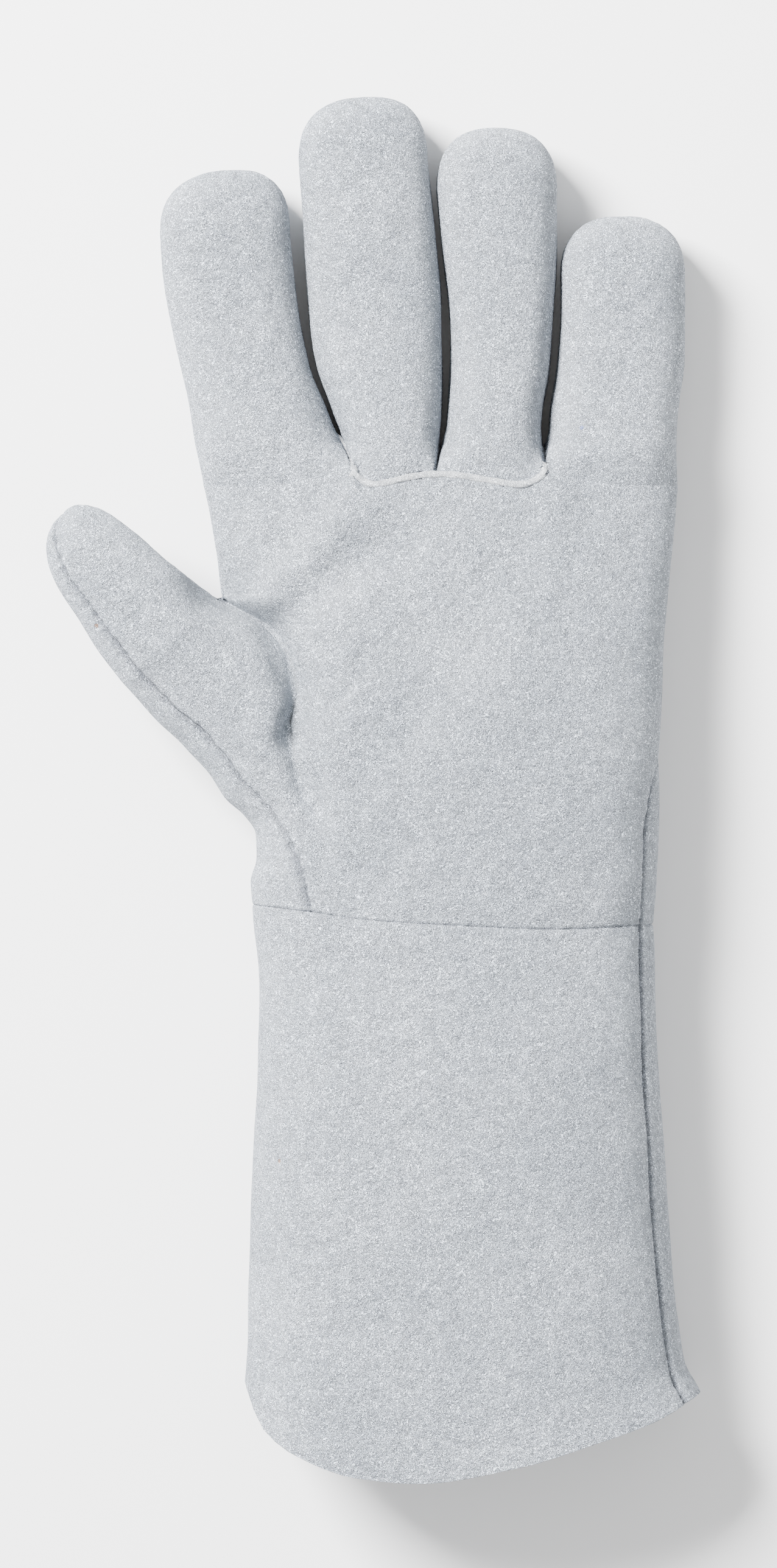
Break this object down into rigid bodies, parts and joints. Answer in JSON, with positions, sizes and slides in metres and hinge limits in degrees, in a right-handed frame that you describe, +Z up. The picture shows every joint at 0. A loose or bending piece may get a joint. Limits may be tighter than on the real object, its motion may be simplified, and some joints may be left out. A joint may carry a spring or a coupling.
{
  "type": "welding gauntlet",
  "caption": "Left-hand leather welding gauntlet with a long open cuff, lying palm up, its fingers slightly spread and its thumb raised.",
  "frame": {"origin": "centre of the glove's outline from above, on the surface that it rests on", "axes": "+Z up out of the palm, +Y along the fingers, +X from the thumb to the little finger"},
  "size_m": [0.167, 0.3548, 0.05],
  "materials": {
    "suede": "pale blue-grey split leather with a short matt nap",
    "welt_leather": "pale cut edge of thin leather, matt"
  },
  "bodies": {
    "root": {"palm_panel": "suede", "middle_finger_front": "suede", "ring_finger_front": "suede", "back_panel": "suede", "cuff": "suede", "side_welt": "suede", "finger_welt": "welt_leather"}
  },
  "joints": []
}
